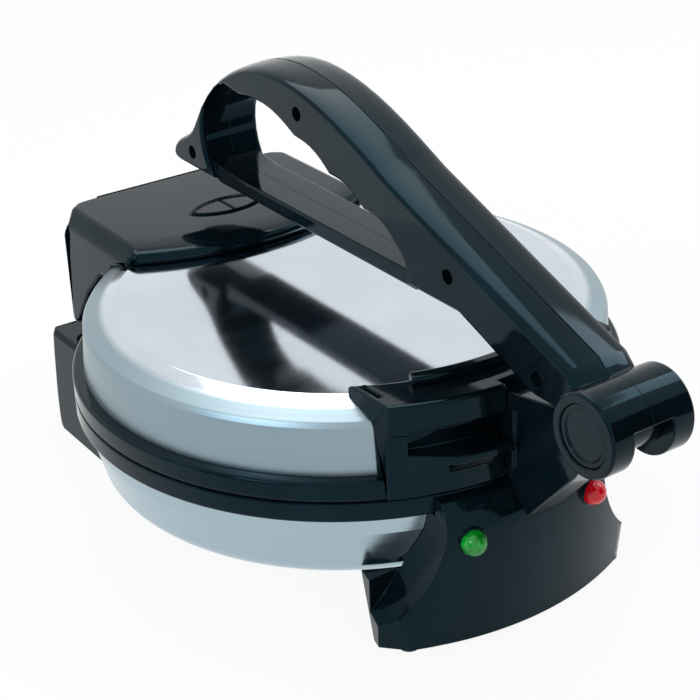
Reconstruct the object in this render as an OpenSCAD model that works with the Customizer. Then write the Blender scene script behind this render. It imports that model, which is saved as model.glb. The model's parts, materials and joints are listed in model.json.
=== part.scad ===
// Electric roti maker: a round hot-plate cooker with a rear hinged lid
// and a long press lever on a front pivot.
// The axis of the round body is the construction axis, the front is -Y.
// Everything is shifted by frame_y, so that the origin lies on the table
// under the middle of the whole part.

/* [Body] */
// Outer radius of the two plastic rims
rim_r = 122.5; // [115:0.5:130]
// Height of the base rim above the table
base_rim_z = 56.2; // [50:0.2:62]
// Height of the base rim
base_rim_h = 8.8; // [7.6:0.1:11]
// Gap between the two rims when the lid is shut
rim_gap = 0.5; // [0.4:0.1:1]
// Height of the lid rim
lid_rim_h = 8.7; // [8:0.1:11]
// Sheet thickness of the pan and the lid cover
sheet = 0.9; // [0.6:0.1:1.2]
// Height of the underside of the pan above the table
pan_z = 22; // [16:0.5:28]
// Distance from the rim's edge in to the flat bottom of the pan
pan_floor_step = 24.5; // [20:0.5:36]
// Running gap between fixed parts that nest
nest_gap = 0.3; // [0.2:0.05:0.5]

/* [Lid cover] */
// Width of the sloping shoulder between the flat top and the wall
shoulder_w = 14.6; // [11:0.2:20]
// Height of the cover above the lid rim
cover_h = 28.4; // [24:0.2:34]
// Drop of the sloping shoulder
shoulder_drop = 6.6; // [4:0.2:9]
// Width of the rim's ledge outside the cover wall
cover_step = 5.2; // [4.5:0.1:7]
// Inward lean of the cover wall from the rim to the shoulder
cover_lean = 1.4; // [0.8:0.1:3]

/* [Hot plates] */
// Distance from the rim's edge in to the edge of the cooking plates
plate_step = 14.5; // [13:0.1:18]
// Thickness of the cooking plates
plate_t = 5.4; // [4.6:0.1:7]
// Gap between the cooking faces with the lid shut
dough_gap = 1.5; // [0.8:0.1:2.5]
// Distance from the plates' edge in to the ring of the heating element
heater_step = 36; // [26:1:48]
// Radius of the heating element's tube
heater_tube_r = 3.2; // [2.6:0.1:4]
// Gap round the tube in its groove
heater_gap = 0.1; // [0.05:0.05:0.2]

/* [Front housing] */
// Width of the bevel beside each front foot
foot_bevel = 7; // [4:0.5:9]
// Outward flare of the front face from its top to the table
skirt_flare = 5.8; // [3:0.1:10]
// Distance from the rim's edge out to the top of the front face
skirt_step = 5.5; // [4.6:0.1:7.5]
// Drop from the top of the base rim to the top of the front housing
skirt_drop = 1.7; // [1:0.1:4.5]
// Half width of the front housing at its top
skirt_top_half = 38.8; // [32:0.5:46]
// Half width of its front face at the table
skirt_foot_half = 57.5; // [50:0.5:62]
// Height of the two feet below the curved side cut
skirt_foot_h = 17; // [12:0.5:22]
// Wall of the plastic housings
wall = 2.5; // [1.8:0.1:3.2]

/* [Lamps] */
// Angle of each lamp from the middle of the front
lamp_angle = 13.3; // [11:0.1:18]
// Depth of the lamps below the top of the front housing
lamp_drop = 15.6; // [13:0.1:20]
// Radius of a lamp lens
lens_r = 5.3; // [4:0.1:6]
// Height of the collar that carries a lens in front of the face
lamp_collar = 5.8; // [3:0.1:8]
// Height of the dome of a lens
lens_dome = 4.6; // [2.5:0.1:5.2]

/* [Rear housing] */
// Half width of the rear housing at the table
rear_foot_half = 84.7; // [76:0.5:90]
// Inward lean of its sides from the table to its top
rear_taper = 5.7; // [2:0.1:9]
// Drop from the underside of the base rim to the top of the rear housing
rear_drop = 7.2; // [5:0.1:12]
// Distance from the hinge pin to the back of the rear housing
rear_depth = 13; // [10:0.5:16]
// Distance from the body axis to the front end of its side arms
rear_front_y = 70; // [60:1:85]
// Radius of its rear corners
rear_corner_r = 22; // [12:1:30]

/* [Lid hinge] */
// Distance of the hinge pin behind the rim's edge
hinge_reach = 14.5; // [13:0.1:16.5]
// Height of the hinge pin above the base rim
hinge_rise = 5; // [4:0.1:8]
// Radius of a hinge pin
pin_r = 2.5; // [2:0.1:3]
// Middle of each hinge post from the centre line
post_x = 46; // [42:0.5:50]
// Width of a hinge post
post_w = 12; // [8:0.5:15]
// Radius of the hinge post round its pin
post_r = 8; // [6.5:0.1:8.5]
// Side gap between a hinge post and the lid's ears
ear_gap = 0.4; // [0.3:0.05:0.8]
// Thickness of the lid's hinge ears
ear_w = 5; // [3.5:0.1:6]
// Radial running gap round a turning pin
run_gap = 0.06; // [0.02:0.01:0.1]

/* [Hinge hood] */
// Height of the hood's top above the flat of the lid
hood_rise = 7; // [5:0.2:12]
// Half width of the hood's top
hood_top_half = 61; // [54:0.5:63]
// Half width of the hood at the foot of its chamfer
hood_half = 66.5; // [64.5:0.5:70]
// Distance from the hinge pin to the hood's back and underside
hood_back_r = 17; // [15:0.5:17.5]
// Radius of the hood's curved front face
hood_front_r = 125; // [110:1:150]
// Distance from the body axis to the hood's front face
hood_front_y = 60; // [50:1:68]
// Width of the shallow slope behind the front face
hood_slope = 16; // [8:0.5:22]
// Height of the upright front face of the hood
hood_face_h = 4.8; // [2.5:0.1:4.9]

/* [Lid lug] */
// Half width of the front lug on the lid
lug_half = 56.8; // [46:0.2:60]
// Distance from the rim's edge out to the lug's front face
lug_step = 1.8; // [1.5:0.1:3]
// Height of the lug's top above the flat of the lid
lug_rise = 5.2; // [3.5:0.1:8]
// Height of the upper band of the lug
lug_band_h = 11.6; // [8:0.1:14]
// Height of the finger recess under the band
lug_recess_h = 11; // [8:0.1:13]
// Depth of the finger shelf in front of the lug's face
shelf_reach = 6.7; // [4:0.1:9]
// Thickness of the finger shelf
shelf_t = 4; // [3:0.1:5]

/* [Lever pivot] */
// Distance of the lever's pivot in front of the rim's edge
pivot_step = 56.9; // [52:0.1:62]
// Height of the lever's pivot above the flat of the lid
pivot_rise = 10.5; // [7:0.1:15]
// Radius of the barrel at the foot of the lever
barrel_r = 16.8; // [15.6:0.1:19]
// Half length of the barrel
barrel_half = 20; // [18.5:0.1:24]
// Half width of the bracket that carries the pivot
bracket_half = 9; // [7:0.1:10]
// Radius of the bracket's knuckle
knuckle_r = 11; // [9:0.1:12]
// Side gap between the bracket and the lever
bracket_gap = 0.4; // [0.3:0.05:0.8]
// Radius of the pivot axle
axle_r = 4; // [3:0.1:5]
// Angle that the lever swings up from rest
lever_swing = 115; // [90:1:118]

/* [Lever] */
// Half width of the lever
lever_half = 15.4; // [13.5:0.1:17]
// Drop of the crowned top at the lever's edges
lever_crown = 3; // [1:0.1:3.4]
// Half width of the lower grip bar
bar_half = 12.2; // [9:0.1:13.5]
// Height of the underside of the grip bar above the flat of the lid
bar_rise = 26.2; // [23:0.1:30]
// Thickness of the grip bar
bar_t = 7; // [5:0.1:9]
// Depth of the finger scallops
scallop = 2.5; // [0.5:0.1:3.5]

/* [Hidden] */
$fn = 96;

black = [0.10, 0.12, 0.13];
steel = [0.80, 0.80, 0.83];
cast = [0.30, 0.30, 0.31];
bright = [0.72, 0.72, 0.72];

// Heights worked out from the driving sizes
foot_lift = 0.8;
base_rim_top = base_rim_z + base_rim_h;
pan_floor_r = rim_r - pan_floor_step;
cover_wall_r = rim_r - cover_step;
cover_edge_r = cover_wall_r - cover_lean;
flat_r = cover_edge_r - shoulder_w;
plate_r = rim_r - plate_step;
heater_ring_r = plate_r - heater_step;
skirt_top_r = rim_r + skirt_step;
skirt_foot_r = skirt_top_r + skirt_flare;
skirt_top_z = base_rim_top - skirt_drop;
lamp_z = skirt_top_z - lamp_drop;
rear_top_half = rear_foot_half - rear_taper;
rear_top_z = base_rim_z - rear_drop;
hinge_y = rim_r + hinge_reach;
hinge_z = base_rim_top + hinge_rise;
rear_back_y = hinge_y + rear_depth;
lug_r = rim_r + lug_step;
shelf_r = lug_r + shelf_reach;
pivot_reach = rim_r + pivot_step;
lid_rim_z = base_rim_top + rim_gap;
lid_rim_top = lid_rim_z + lid_rim_h;
flat_z = lid_rim_top + cover_h;
seam_z = base_rim_top + rim_gap / 2;
lower_face = seam_z - dough_gap / 2;
upper_face = seam_z + dough_gap / 2;
pivot_z = flat_z + pivot_rise;
bar_z = flat_z + bar_rise;
hood_top = flat_z + hood_rise;
lug_top = flat_z + lug_rise;
hood_back_y = hinge_y + hood_back_r;
pivot_y = -pivot_reach;

// The whole part is centred between the barrel and the back of the hood
frame_y = (pivot_reach + barrel_r - hood_back_y) / 2;

// Points on an arc from angle a0 to a1
function arc(c, r, a0, a1, n = 12) =
    [for (i = [0:n]) let (a = a0 + (a1 - a0) * i / n)
        [c[0] + r * cos(a), c[1] + r * sin(a)]];

// Points on a cubic curve with two handles, without its last point
function curve(p, n = 10) =
    [for (i = [0:n - 1]) let (t = i / n, s = 1 - t)
        s * s * s * p[0] + 3 * s * s * t * p[1]
        + 3 * s * t * t * p[2] + t * t * t * p[3]];

// Outline moved inwards by d with every edge kept parallel; the points run
// counter-clockwise
function left_of(a, b) = [a[1] - b[1], b[0] - a[0]] / norm(b - a);
function inset(p, d) =
    let (n = len(p))
    [for (i = [0:n - 1])
        let (u = left_of(p[(i + n - 1) % n], p[i]), v = left_of(p[i], p[(i + 1) % n]))
        p[i] + d * (u + v) / (1 + u * v)];

module placed() {
    translate([0, frame_y, 0]) children();
}

// A section of a turned ring about the body axis, centred on the front
module front_sector(half) {
    rotate([0, 0, -90 - half]) rotate_extrude(angle = 2 * half) children();
}

// Extrudes a side view, drawn as (y, z), along X from x0 to x1
module side_slab(x0, x1) {
    translate([x0, 0, 0]) rotate([90, 0, 90]) linear_extrude(x1 - x0) children();
}

// Extrudes a front view, drawn as (x, z), along Y from y0 to y1
module front_slab(y0, y1) {
    translate([0, y1, 0]) rotate([90, 0, 0]) linear_extrude(y1 - y0) children();
}

// A round rod along X
module rod_x(x0, x1, y, z, r) {
    translate([x0, y, z]) rotate([0, 90, 0]) cylinder(r = r, h = x1 - x0);
}

// Both mirror images about the middle plane
module both_sides() {
    children();
    mirror([1, 0, 0]) children();
}

// Pan

rim_ledge = 3.8;
pan_rim_r = rim_r - rim_ledge;
pan_rim_z = base_rim_z + 3.5;
pan_belly_r = pan_rim_r - 1;
pan_belly_z = base_rim_z - 9;
pan_knee_r = pan_rim_r - 5.6;
pan_knee_z = pan_z + 8;

// Outer line of the pan from the rim down, grown outwards by d
function pan_line(d) = concat(
    [[pan_rim_r + d, pan_rim_z + d], [pan_rim_r + d, base_rim_z]],
    [[pan_belly_r + d, pan_belly_z]],
    curve([[pan_knee_r + d, pan_knee_z], [pan_knee_r - 1.6 + d, pan_z + 4 - d / 2],
           [pan_floor_r + 9, pan_z - d], [pan_floor_r, pan_z - d]], 8),
    [[pan_floor_r, pan_z - d], [0, pan_z - d]]);

module pan_body(d) {
    rotate_extrude() polygon(concat(pan_line(d), [[0, pan_rim_z + d]]));
}

vent_r = pan_floor_r - 14;
bolt_r = 2.4;
module base_pan() placed() color(steel) difference() {
    rotate_extrude() polygon(concat(pan_line(0), [[0, pan_z + sheet]],
        [[pan_floor_r, pan_z + sheet]],
        [for (q = [7:-1:0]) pan_line(-sheet)[q + 3]],
        [[pan_belly_r - sheet, pan_belly_z], [pan_rim_r - sheet, base_rim_z],
         [pan_rim_r - sheet, pan_rim_z]]));
    translate([0, 0, pan_z - 1]) cylinder(r = bolt_r + 0.2, h = sheet + 2);
    for (a = [0:45:315]) rotate([0, 0, a]) translate([vent_r, 0, pan_z - 1])
        for (s = [-1:1]) translate([-6 * abs(s), 9 * s - 1.5, 0])
            cube([12, 3, sheet + 2], center = false);
    screw_places(concat(front_screws, rear_screws)) cylinder(r = 1.7, h = 6, center = true);
}

// Radius of the pan's outer wall at a height above its knee
function pan_r(z) = z > pan_belly_z
    ? pan_belly_r + (pan_rim_r - pan_belly_r) * (z - pan_belly_z) / (base_rim_z - pan_belly_z)
    : pan_knee_r + (pan_belly_r - pan_knee_r) * (z - pan_knee_z) / (pan_belly_z - pan_knee_z);

// Screws through the pan wall into the two housings, as [angle, height]
screw_head_r = 3;
front_screws = [for (a = [-106, -90, -74]) [a, base_rim_z - 5]];
rear_screws = [for (a = [55, 125]) [a, rear_top_z - 8]];
module screw_places(list) {
    for (q = list) rotate([0, 0, q[0]])
        translate([pan_r(q[1] - screw_head_r) - sheet, 0, q[1]]) rotate([0, 90, 0]) children();
}

// Base rim

rim_round = 0.6;
seat_r = plate_r + nest_gap;
module base_rim() placed() color(black) rotate_extrude() polygon([
    [seat_r - 3.5, pan_rim_z + nest_gap],
    [pan_rim_r + nest_gap, pan_rim_z + nest_gap],
    [pan_rim_r + nest_gap, base_rim_z],
    [rim_r - rim_round, base_rim_z], [rim_r, base_rim_z + rim_round],
    [rim_r, base_rim_top - rim_round], [rim_r - rim_round, base_rim_top],
    [seat_r, base_rim_top], [seat_r, lower_face - 3.2 - nest_gap / 3],
    [seat_r - 3.5, lower_face - 3.2 - nest_gap / 3]
]);

// Hot plates

boss_r = 9;
stud_r = 7;
shield_t = 0.8;
plate_edge = 3.2;

// Half section of a plate that faces up, with its cooking face at z = 0
module plate_half() {
    difference() {
        polygon([[0, 0], [plate_r - 0.8, 0], [plate_r, -0.8],
                 [plate_r, -plate_edge], [plate_r - 5, -plate_edge],
                 [plate_r - 7, -plate_t], [0, -plate_t]]);
        translate([heater_ring_r, -plate_t - 0.6]) circle(r = heater_tube_r + heater_gap);
    }
}

under_plate = lower_face - plate_t;
shield_gap = 11.1;
shield_z = under_plate - shield_gap;
module lower_plate() placed() color(cast) difference() {
    union() {
        translate([0, 0, lower_face]) rotate_extrude() plate_half();
        translate([0, 0, shield_z]) cylinder(r = boss_r, h = lower_face - plate_t - shield_z + 1);
        translate([0, 0, pan_z + sheet + 0.1]) cylinder(r = stud_r, h = 30);
    }
    translate([0, 0, pan_z]) cylinder(r = bolt_r + 0.05, h = 22);
}

// Ring heater with two cold ends that point away from the plate
module heater(sign) {
    rotate([0, 0, 105]) rotate_extrude(angle = 330)
        translate([heater_ring_r, 0]) circle(r = heater_tube_r, $fn = 32);
    for (a = [-7.5, 7.5]) rotate([0, 0, 90 + a]) translate([heater_ring_r, 0, 0])
        mirror([0, 0, sign > 0 ? 0 : 1]) {
            cylinder(r = heater_tube_r - 0.4, h = 6);
            cylinder(r = 1.2, h = 9);
        }
}

lower_heater_z = lower_face - plate_t - 0.6;
module lower_heater() placed() color(bright)
    translate([0, 0, lower_heater_z]) heater(-1);

shield_r = plate_r - 16;
module shield(sign) {
    difference() {
        union() {
            cylinder(r = shield_r, h = shield_t);
            translate([0, 0, sign > 0 ? 0 : shield_t - 3])
                difference() {
                    cylinder(r = shield_r, h = 3);
                    translate([0, 0, -1]) cylinder(r = shield_r - shield_t, h = 5);
                }
        }
        translate([0, 0, -5]) cylinder(r = stud_r + 0.1, h = 10);
        rotate([0, 0, 90]) translate([heater_ring_r, 0, -5]) cylinder(r = 13, h = 10);
    }
}

module lower_reflector() placed() color(bright)
    translate([0, 0, shield_z - shield_t - 0.1]) shield(1);

module base_bolt() placed() color(bright) union() {
    translate([0, 0, pan_z]) cylinder(r = bolt_r, h = 18);
    translate([0, 0, pan_z - 0.8]) cylinder(r = 8, h = 0.7);
    translate([0, 0, pan_z - 4]) cylinder(r = 4.6, h = 3.3, $fn = 6);
}

// Thermostat: a bracket against the plate, a ceramic body and its adjusting screw
module thermostat() placed() color([0.85, 0.82, 0.75]) translate([34, -6, under_plate - 0.1]) union() {
    translate([-17, -6, -1.2]) cube([34, 12, 1.2]);
    translate([-11, -6, -7.6]) cube([22, 12, 6.4]);
    translate([0, 0, -8.4]) cylinder(r = 3, h = 2);
    for (s = [-1, 1]) translate([s * 7.5 - 2, -0.4, -8.4]) cube([4, 0.8, 3]);
}

module thermal_fuse() placed() color([0.75, 0.68, 0.5]) translate([-34, 4, under_plate - 2.4]) union() {
    rotate([90, 0, 0]) cylinder(r = 2.2, h = 13, center = true);
    rotate([90, 0, 0]) cylinder(r = 0.6, h = 28, center = true);
    translate([-1.5, -6, -0.4]) cube([3, 12, 2.7]);
}

// Front housing

side_cut_z = skirt_top_z - 3.3;
side_cut_r = (skirt_foot_half - skirt_top_half) / 2
    + pow(side_cut_z - skirt_foot_h, 2) / (2 * (skirt_foot_half - skirt_top_half));
side_cut_x = skirt_top_half + side_cut_r;

// Plan of the housing: a bevel beside each foot and sides that close in
// towards the back
foot_corner = [skirt_foot_half + foot_bevel,
               8.8 - sqrt(pow(skirt_foot_r, 2) - pow(skirt_foot_half, 2))];
scoop_y = foot_corner[1] + 8;
foot_side_lean = 0.24;
skirt_plan = [
    [-foot_corner[0] + 40 * foot_side_lean, foot_corner[1] + 40],
    [-foot_corner[0], foot_corner[1]], foot_corner - [2 * foot_corner[0] - 28, 30],
    foot_corner - [28, 30], foot_corner,
    [foot_corner[0] - 40 * foot_side_lean, foot_corner[1] + 40]];
module skirt_solid(d) {
    intersection() {
        rotate([0, 0, -150]) rotate_extrude(angle = 120) skirt_section(d);
        translate([0, 0, -2]) linear_extrude(skirt_top_z + 4) polygon(inset(skirt_plan, d));
    }
}

function skirt_r(z) = skirt_top_r + (skirt_foot_r - skirt_top_r)
    * pow((skirt_top_z - z) / (skirt_top_z - foot_lift), 1.35);
skirt_heights = [foot_lift, 8, 16, 24, 32, 40, 48, 56, skirt_top_z - 1];
skirt_inner_foot_r = skirt_foot_r - 9.2;

module skirt_section(d) {
    polygon(concat(
        [[skirt_inner_foot_r + d, d > 0 ? -1 : foot_lift]],
        [[skirt_foot_r - d, d > 0 ? -1 : foot_lift]],
        [for (z = skirt_heights) [skirt_r(z) - d, z - (z > 50 ? d : 0)]],
        [[skirt_top_r - 1 - d, skirt_top_z - d]],
        d > 0 ? [[pan_rim_r + nest_gap + d, skirt_top_z - 9]]
              : [[rim_r + nest_gap, skirt_top_z], [rim_r + nest_gap, base_rim_z - nest_gap],
                 [pan_rim_r + nest_gap, base_rim_z - nest_gap]],
        [[pan_belly_r + nest_gap + d, pan_belly_z], [pan_knee_r + nest_gap + d, pan_knee_z + 1],
         [pan_knee_r + d, pan_z + 5]]));
}

// The curved scoop that leaves each end standing on a foot
scoop_top_z = pan_knee_z - 2;
module skirt_side_cut(d) {
    translate([0, scoop_y + d, 0]) {
        translate([side_cut_x, 0, side_cut_z]) rotate([90, 0, 0]) cylinder(r = side_cut_r + d, h = rim_r);
        translate([skirt_top_half - d, -rim_r, side_cut_z]) cube([rim_r, rim_r, skirt_top_z]);
        translate([skirt_foot_half - d + 1, -rim_r, skirt_foot_h - d + 0.5])
            cube([rim_r, rim_r, skirt_top_z]);
    }
    translate([skirt_top_half - d, scoop_y - 1, scoop_top_z - d]) cube([rim_r, rim_r, skirt_top_z]);
}

collar_r = lens_r + 0.9;
stem_r = lens_r - 1.4;
module lamp_place(side) {
    rotate([0, 0, side * lamp_angle]) translate([0, -skirt_r(lamp_z), lamp_z])
        rotate([90, 0, 0]) children();
}

foot_angle = 24.4;
foot_r = 4.3;
foot_plug_r = 2.6;
front_foot_r = (skirt_foot_r + skirt_inner_foot_r) / 2;
module front_foot_place() {
    for (s = [-1, 1]) rotate([0, 0, s * foot_angle - 90]) translate([front_foot_r, 0, 0]) children();
}

module front_housing() placed() color(black) difference() {
    union() {
        difference() {
            skirt_solid(0);
            both_sides() skirt_side_cut(0);
            difference() {
                skirt_solid(wall);
                both_sides() skirt_side_cut(wall);
            }
        }
        intersection() {
            skirt_solid(0);
            union() {
                front_foot_place() cylinder(r = foot_plug_r + 2, h = 12);
                screw_places(front_screws) translate([0, 0, -3]) cylinder(r = 4, h = 11);
            }
        }
        for (s = [-1, 1]) lamp_place(s) translate([0, 0, -1.5])
            cylinder(r = collar_r, h = lamp_collar + 1.5);
    }
    for (s = [-1, 1]) lamp_place(s) {
        translate([0, 0, -20]) cylinder(r = stem_r + 0.1, h = 21 + lamp_collar);
        translate([0, 0, lamp_collar - 0.9]) cylinder(r = lens_r + 0.15, h = 3);
    }
    front_foot_place() translate([0, 0, -1]) cylinder(r = foot_plug_r + 0.05, h = 6);
    screw_places(front_screws) cylinder(r = 1.3, h = 9.5);
}

// A domed lens that sits in its collar, with a stem that passes the wall
lens_seat = lamp_collar - 0.85;
lens_edge = 1.5;
module lens(c, side) {
    dome_foot_r = lens_r - 0.15;
    dome = (pow(dome_foot_r, 2) + pow(lens_dome, 2)) / (2 * lens_dome);
    color(c) lamp_place(side) difference() {
        union() {
            translate([0, 0, lens_seat]) cylinder(r = lens_r, h = lens_edge + 0.85);
            translate([0, 0, lamp_collar + lens_edge]) intersection() {
                translate([0, 0, lens_dome - dome]) sphere(r = dome);
                translate([0, 0, -0.3]) cylinder(r = lens_r - 0.05, h = lens_dome + 1);
            }
            translate([0, 0, -wall - 2.2]) cylinder(r = stem_r, h = wall + lamp_collar + 2);
        }
        translate([0, 0, -wall - 3]) cylinder(r = stem_r - 1.1, h = wall + lamp_collar + 4);
    }
}

module lamp_lens_green() placed() lens([0.10, 0.62, 0.20], -1);
module lamp_lens_red() placed() lens([0.90, 0.06, 0.12], 1);

module neon_lamps() placed() color([0.95, 0.7, 0.5]) for (s = [-1, 1]) lamp_place(s) union() {
    translate([0, 0, -wall - 1]) cylinder(r = stem_r - 1.5, h = 7);
    for (k = [-0.8, 0.8]) translate([k, 0, -wall - 4]) cylinder(r = 0.3, h = 4);
}

// Push-on rings that hold the lens stems behind the wall
module lamp_retainers() placed() color(bright) for (s = [-1, 1]) lamp_place(s)
    translate([0, 0, -wall - 1.2]) difference() {
        cylinder(r = stem_r + 1.2, h = 0.6);
        translate([0, 0, -1]) cylinder(r = stem_r + 0.03, h = 3);
    }

// Rear housing

rear_hull_gap = nest_gap + 0.1;
function rear_plan(d) = concat(
    [[-rear_foot_half + d, rear_front_y - 1], [rear_foot_half - d, rear_front_y - 1]],
    arc([rear_foot_half - rear_corner_r, rear_back_y - rear_corner_r], rear_corner_r - d, 0, 90),
    arc([-rear_foot_half + rear_corner_r, rear_back_y - rear_corner_r], rear_corner_r - d, 90, 180));

module rear_block(d) {
    top = rear_top_z - d;
    lean = 2.5;
    bottom = d > 0 ? -1 : foot_lift;
    intersection() {
        linear_extrude(80) polygon(rear_plan(d));
        front_slab(0, 200) polygon([
            [-rear_foot_half + d, bottom], [rear_foot_half - d, bottom],
            [rear_top_half - d, top - 2], [rear_top_half - d - 2, top],
            [-rear_top_half + d + 2, top], [-rear_top_half + d, top - 2]]);
        side_slab(-rim_r, rim_r) polygon([
            [rear_front_y + d, bottom], [rear_back_y - d, bottom],
            [rear_back_y - d - lean + 0.5, top - 3], [rear_back_y - d - lean - 2, top],
            [rear_front_y + d, top]]);
    }
}

module post_outline(r) {
    polygon(concat([[hinge_y + r, rear_top_z - 1]], arc([hinge_y, hinge_z], r, 0, 180, 16),
                   [[hinge_y - r, rear_top_z - 1]]));
}

rear_feet = [[66, 96], [62, rear_back_y - 18]];
gland_z = 24;
gland_r = 6;
gland_flange_r = gland_r + 2.2;
gland_seat_y = rear_back_y - 1.6;
module rear_housing() placed() color(black) difference() {
    union() {
        difference() {
            rear_block(0);
            pan_body(rear_hull_gap);
            difference() {
                rear_block(wall);
                pan_body(rear_hull_gap + wall);
            }
        }
        both_sides() side_slab(post_x - post_w / 2, post_x + post_w / 2) post_outline(post_r);
        intersection() {
            rear_block(0);
            difference() {
                union() {
                    for (f = rear_feet) both_sides()
                        translate([f[0], f[1], 0]) cylinder(r = foot_plug_r + 2.8, h = rear_top_z);
                    screw_places(rear_screws) translate([0, 0, -3]) cylinder(r = 4, h = 14);
                    both_sides() translate([post_x - 1.2, hinge_y - 14, 6]) cube([2.4, 24, rear_top_z - 6]);
                }
                pan_body(rear_hull_gap);
            }
        }
    }
    both_sides() rod_x(post_x - post_w / 2 - 1, post_x + post_w / 2 + 1, hinge_y, hinge_z, pin_r + 0.02);
    for (f = rear_feet) both_sides()
        translate([f[0], f[1], -1]) cylinder(r = foot_plug_r + 0.05, h = 6);
    translate([0, rear_back_y - 12, gland_z]) rotate([-90, 0, 0]) cylinder(r = gland_r + 0.1, h = 20);
    translate([0, gland_seat_y - 0.05, gland_z]) rotate([-90, 0, 0])
        cylinder(r = gland_flange_r + 0.2, h = 20);
    screw_places(rear_screws) cylinder(r = 1.3, h = 9.5);
}

// Rubber feet with a plug that presses into the housings
module rubber_foot() {
    cylinder(r = foot_r, h = foot_lift);
    cylinder(r = foot_plug_r, h = 4.6);
}

module rubber_feet() placed() color([0.16, 0.16, 0.16]) {
    front_foot_place() rubber_foot();
    for (f = rear_feet) both_sides() translate([f[0], f[1], 0]) rubber_foot();
}

// Cord inlet: a bushing through the back wall
module cord_gland() placed() color([0.2, 0.2, 0.2]) translate([0, gland_seat_y, gland_z])
    rotate([-90, 0, 0]) difference() {
        union() {
            cylinder(r = gland_flange_r, h = 1.6);
            translate([0, 0, -wall - 2]) cylinder(r = gland_r, h = wall + 2.5);
        }
        translate([0, 0, -wall - 3]) cylinder(r = gland_r - 2.4, h = wall + 6);
    }

module terminal_block() placed() color([0.92, 0.9, 0.85])
    translate([-16, hinge_y - 9, rear_top_z - wall - 14.2]) difference() {
        cube([32, 14, 14]);
        for (x = [6, 16, 26]) translate([x, 7, -1]) cylinder(r = 2, h = 9);
        for (x = [6, 16, 26]) translate([x, -1, 5]) rotate([-90, 0, 0]) cylinder(r = 1.6, h = 16);
    }

// Hinge pins: each crosses a post and the two ears beside it
pin_half = post_w / 2 + ear_gap + ear_w + 0.5;
module hinge_pins() placed() color(bright)
    both_sides() rod_x(post_x - pin_half, post_x + pin_half, hinge_y, hinge_z, pin_r);

module base_screws() placed() color(bright) screw_places(concat(front_screws, rear_screws)) {
    translate([0, 0, -1.8]) cylinder(r = screw_head_r, h = 1.6);
    translate([0, 0, -1]) cylinder(r = 1.25, h = 9.5);
}

// Lid cover

shoulder_z = flat_z - shoulder_drop;

// Outer line of the cover from the middle to the rim, grown outwards by d
function cover_line(d) = [
    [0, flat_z + d], [flat_r + d * 0.2, flat_z + d],
    [cover_edge_r - 3 + d * 0.4, shoulder_z + 1.6 + d * 0.9],
    [cover_edge_r - 1.3 + d * 0.75, shoulder_z + 0.5 + d * 0.6],
    [cover_edge_r - 0.3 + d, shoulder_z - 1.3 + d * 0.2],
    [cover_edge_r + d, shoulder_z - 3.2],
    [cover_wall_r + d, lid_rim_top + 0.1]];

module cover_body(d) {
    rotate_extrude() polygon(concat(cover_line(d),
        [[cover_wall_r + d, lid_rim_top - 0.2], [0, lid_rim_top - 0.2]]));
}

hood_screw_x = 36;
hood_screws_at = [for (s = [-1, 1]) [s * hood_screw_x, sqrt(pow(flat_r - 8, 2) - pow(hood_screw_x, 2))]];
bracket_screw_z = [lid_rim_top + 9, lid_rim_top + 17];
module lid_cover() placed() color(steel) difference() {
    rotate_extrude() polygon(concat(cover_line(0), [for (i = [6:-1:0]) cover_line(-sheet)[i]]));
    for (p = hood_screws_at) translate([p[0], p[1], flat_z - 3]) cylinder(r = 1.6, h = 6);
    for (z = bracket_screw_z)
        translate([0, -cover_wall_r - 4, z]) rotate([-90, 0, 0]) cylinder(r = 1.6, h = 8);
}

// Lid rim, with an upstand inside the cover and a ledge for the plate
upstand_r = cover_edge_r - 1.2;
ledge_z = upper_face + plate_edge - nest_gap / 3;
module lid_rim() placed() color(black) rotate_extrude() polygon([
    [seat_r, lid_rim_z], [rim_r - rim_round, lid_rim_z], [rim_r, lid_rim_z + rim_round],
    [rim_r, lid_rim_top - rim_round * 1.6], [rim_r - rim_round * 1.6, lid_rim_top],
    [upstand_r, lid_rim_top], [upstand_r, lid_rim_top + 5], [upstand_r - 2.2, lid_rim_top + 5],
    [upstand_r - 2.2, ledge_z], [seat_r, ledge_z]
]);

module upper_plate() placed() color(cast) translate([0, 0, upper_face]) difference() {
    union() {
        mirror([0, 0, 1]) rotate_extrude() plate_half();
        translate([0, 0, plate_edge]) rotate_extrude() polygon([
            [plate_r - 7, 0], [upstand_r - 2.4, 0], [upstand_r - 2.4, 1.8], [plate_r - 7, 1.8]]);
        cylinder(r = boss_r, h = 16);
        cylinder(r = stud_r, h = 22);
    }
    translate([0, 0, 12]) cylinder(r = 2, h = 20);
}

upper_heater_z = upper_face + plate_t + 0.6;
module upper_heater() placed() color(bright) translate([0, 0, upper_heater_z]) heater(1);

upper_shield_z = upper_face + plate_t + shield_gap - 0.4;
module upper_reflector() placed() color(bright) translate([0, 0, upper_shield_z]) shield(-1);

module reflector_nut() placed() color(bright)
    translate([0, 0, upper_shield_z + shield_t + 0.1]) difference() {
    cylinder(r = stud_r + 4, h = 3.4, $fn = 6);
    translate([0, 0, -1]) cylinder(r = stud_r + 0.05, h = 6);
}

// Hinge hood

hood_low_z = hinge_z - hood_back_r;
hood_front_c = hood_front_y + hood_front_r;
hood_rear_bulge = 282;
relief_half = 27;
relief_h = 4.6;

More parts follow.
